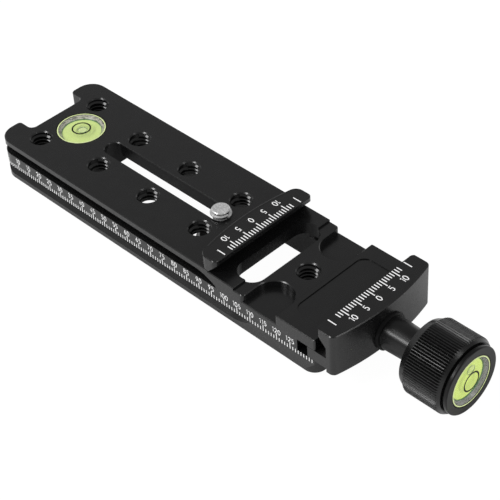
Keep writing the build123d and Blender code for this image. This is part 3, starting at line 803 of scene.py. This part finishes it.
lensOutline = [(0, -0.16), (7.0, -0.16), (7.0, -0.12), (5.5, -0.08), (3.0, -0.065), (0, -0.06)]    # crowned

levels = {
    "rail": {
        "place": Matrix.Translation(railLevelCentre),
        "ringRadius": 2.76,
        "bubbleOffset": 0.5,
        "lime": railLime,
        "wall": railWall,
        "paintedBubbleOutline": bubbleOutlineShade,
    },
    "knob": {
        "place": alongRail(*knobLevelCentre),
        "ringRadius": 2.87,
        "bubbleOffset": 3.9,
        "lime": knobLimePaintedLighter,
        "wall": knobWall,
        "paintedBubbleOutline": bubbleOutlineLight,
    },
}


def turnParts(parts, place):
    bm = bmesh.new()
    for part in parts.values():
        turnSection(bm, part["outline"], place, material=part["material"])
    return bm


def roundLevel(body, level):
    place = level["place"]
    vial = body + "_vial_"
    finishPiece(body + "_level_cup", turnParts(cupSetup, place), body,
                [acrylicRim, level["wall"], fluidEdgePaintedShade, printAndGapShadeBlack], replaces=[vial + "housing"])

    bm = bmesh.new()
    turnSection(bm, fluidOutline, place)
    finishPiece(body + "_level_fluid", bm, body, [level["lime"]],
                replaces=[vial + "fluid", vial + "base"])

    inner = level["ringRadius"] - ringSetup["width"] / 2
    outer = inner + ringSetup["width"]
    low, high = ringSetup["low"], ringSetup["high"]
    bm = bmesh.new()
    turnSection(bm, [(inner, low), (outer, low), (outer, high), (inner, high)], place, closed=True)
    finishPiece(body + "_level_ring", bm, body, [printAndGapShadeBlack])

    away = place @ Matrix.Translation((level["bubbleOffset"], 0, 0))
    finishPiece(body + "_level_bubble", turnParts(bubbleSetup, away), body,
                [level["paintedBubbleOutline"], bubbleClear], replaces=[vial + "bubble"])

    bm = bmesh.new()
    turnSection(bm, lensOutline, place)
    finishPiece(body + "_level_lens", bm, body, [lensClear])


for body, level in levels.items():
    roundLevel(body, level)
print("levels made")

# The floor shows white to the camera and less so in a mirror, and keeps the object's shadow.
stageSetup = {
    "floorZ": -2.15,
    "floorSize": 4000.0,
    "paint": 0.85,
    "white": 1.05,
    "seen": 0.93,
    "mirrored": 0.15,
}
bm = bmesh.new()
bmesh.ops.create_grid(bm, x_segments=1, y_segments=1, size=stageSetup["floorSize"] / 2 * toMetres)
floorMesh = bpy.data.meshes.new("floor")
bm.to_mesh(floorMesh)
bm.free()
floor = bpy.data.objects.new("floor", floorMesh)
floor.location.z = stageSetup["floorZ"] * toMetres
scene.collection.objects.link(floor)

floorPaint = newFinish("paleFloor")
mirrored = floorPaint.rayIs("Glossy") + floorPaint.rayIs("Transmission")
whiteness = stageSetup["seen"] * floorPaint.rayIs("Camera") + stageSetup["mirrored"] * mirrored
diffuse = floorPaint.node("ShaderNodeBsdfDiffuse", sockets={"Color": grey(stageSetup["paint"])})
glow = floorPaint.node("ShaderNodeEmission", sockets={"Color": grey(1.0), "Strength": stageSetup["white"]})
mixed = floorPaint.node("ShaderNodeMixShader", sockets={0: whiteness, 1: diffuse, 2: glow})
floorPaint.node("ShaderNodeOutputMaterial", sockets={"Surface": mixed})
floorMesh.materials.append(floorPaint.owner)

# The world is white to the camera; in a mirror it fades from white to the overhead level as a ray rises.
worldSetup = {"ambient": 0.55, "overhead": 0.34, "low": 0.05, "high": 0.36}
scene.world = bpy.data.worlds.new("studio")
studio = Finish(scene.world)
rise = studio.axes(studio.place())[2]
reflected = 1.0 - rise.ramp(worldSetup["low"], worldSetup["high"]) * (1.0 - worldSetup["overhead"])
inMirror = studio.rayIs("Glossy") + studio.rayIs("Transmission")
strength = worldSetup["ambient"] + inMirror * (reflected - worldSetup["ambient"])
strength = strength + studio.rayIs("Camera") * (1.0 - strength)
background = studio.node("ShaderNodeBackground", sockets={"Color": grey(1.0), "Strength": strength})
studio.node("ShaderNodeOutputWorld", sockets={"Surface": background})

lampSetup = {
    "key": {"place": (-0.19, -0.58, 0.52), "size": 0.16, "power": 2.2},
    "left": {"place": (-0.478, -0.288, 0.606), "size": 0.24, "power": 1.6},
    "side": {"place": (0.554, 0.128, 0.546), "size": 0.14, "power": 0.5},
    "end": {"place": (0.69, 0.16, 0.28), "size": 0.2, "power": 1.1},
}
lampAim = Vector((-0.03, 0.0, 0.01))
for name, setup in lampSetup.items():
    light = bpy.data.lights.new(name, "AREA")
    light.size = setup["size"]
    light.energy = setup["power"]
    lamp = bpy.data.objects.new(name, light)
    lamp.location = setup["place"]
    lamp.rotation_euler = (lampAim - lamp.location).to_track_quat("-Z", "Y").to_euler()
    scene.collection.objects.link(lamp)

# The photograph's camera.
cameraSetup = {
    "place": (0.22112, -0.22237, 0.29704),
    "right": (0.70712753, 0.7052332, -0.05115453),
    "up": (-0.43963363, 0.4951693, 0.74935281),
    "lens": 112.02,
    "sensor": 36.0,
    "shift": (-0.00636, -0.0004),
    "nearest": 0.01,
}
camera = bpy.data.objects.new("camera", bpy.data.cameras.new("camera"))
camera.data.lens = cameraSetup["lens"]
camera.data.sensor_width = cameraSetup["sensor"]
camera.data.shift_x, camera.data.shift_y = cameraSetup["shift"]
camera.data.clip_start = cameraSetup["nearest"]
camera.matrix_world = turned(cameraSetup["right"], cameraSetup["up"], cameraSetup["place"])
scene.collection.objects.link(camera)
scene.camera = camera
scene.view_settings.view_transform = "Standard"
print("stage and camera set")
